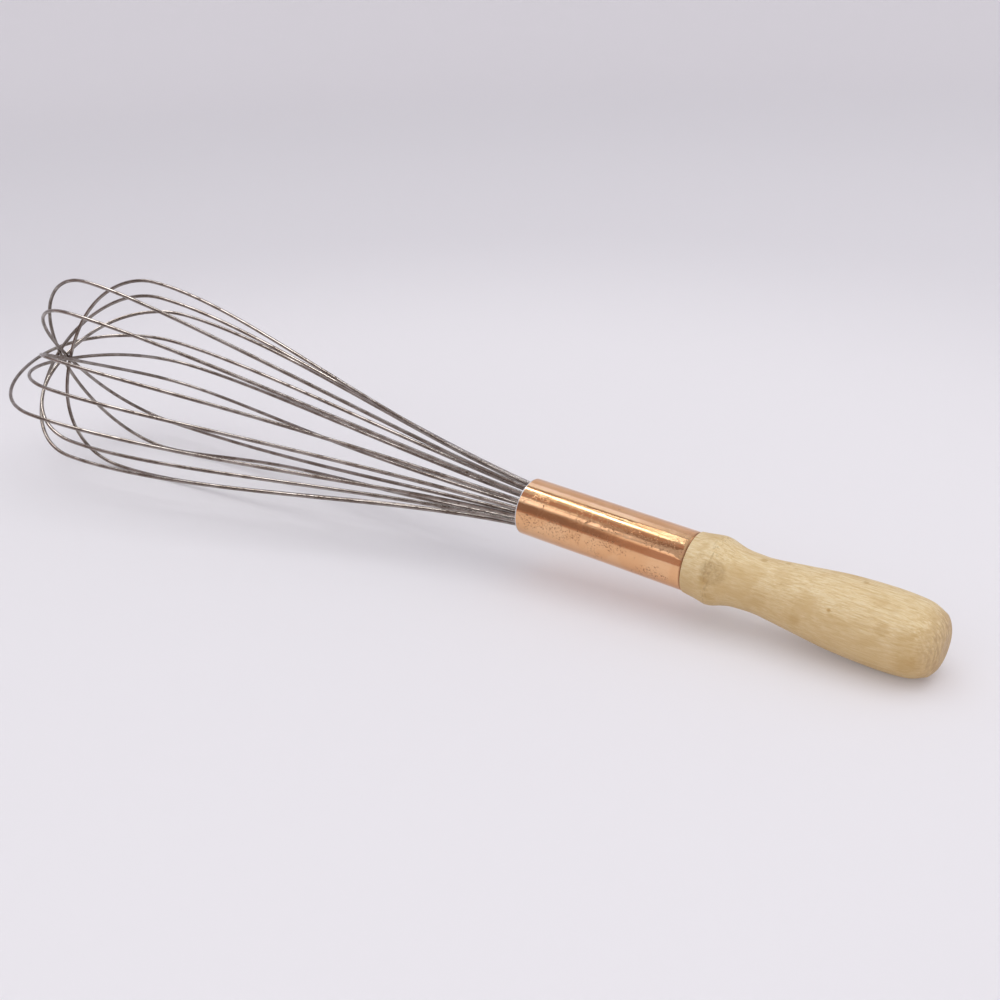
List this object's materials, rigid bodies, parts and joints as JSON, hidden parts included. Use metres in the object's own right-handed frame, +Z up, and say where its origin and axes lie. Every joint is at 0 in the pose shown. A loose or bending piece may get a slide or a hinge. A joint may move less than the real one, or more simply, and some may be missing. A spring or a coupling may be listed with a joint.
{
  "type": "balloon whisk",
  "caption": "Large balloon whisk: a cage of crossed steel wire loops in a copper ferrule on a turned, waisted wooden handle.",
  "frame": {"origin": "centre of the bounding box at the level of the surface the whisk lies on", "axes": "+X runs along the whisk from the wire tip towards the butt of the handle, as it lies; +Z is up"},
  "size_m": [0.4942, 0.11, 0.1054],
  "materials": {
    "steel_wire": "bright drawn wire, dulled and spotted brown with use",
    "copper": null,
    "turned_wood": "pale close-grained hardwood, worn smooth, unvarnished",
    "dowel_wood": "plain sawn dowel, hidden",
    "binding_steel": "soft annealed wire, hidden",
    "solder": null
  },
  "bodies": {
    "root": {"wire_loop_1": "steel_wire", "wire_loop_2": "steel_wire", "wire_loop_3": "steel_wire", "wire_loop_4": "steel_wire", "wire_loop_5": "steel_wire", "wire_loop_6": "steel_wire", "wire_loop_7": "steel_wire", "wire_loop_8": "steel_wire", "ferrule_tube": "copper", "handle": "turned_wood", "core_plug": "dowel_wood", "binding_wire": "binding_steel", "mouth_solder": "solder"}
  },
  "joints": []
}
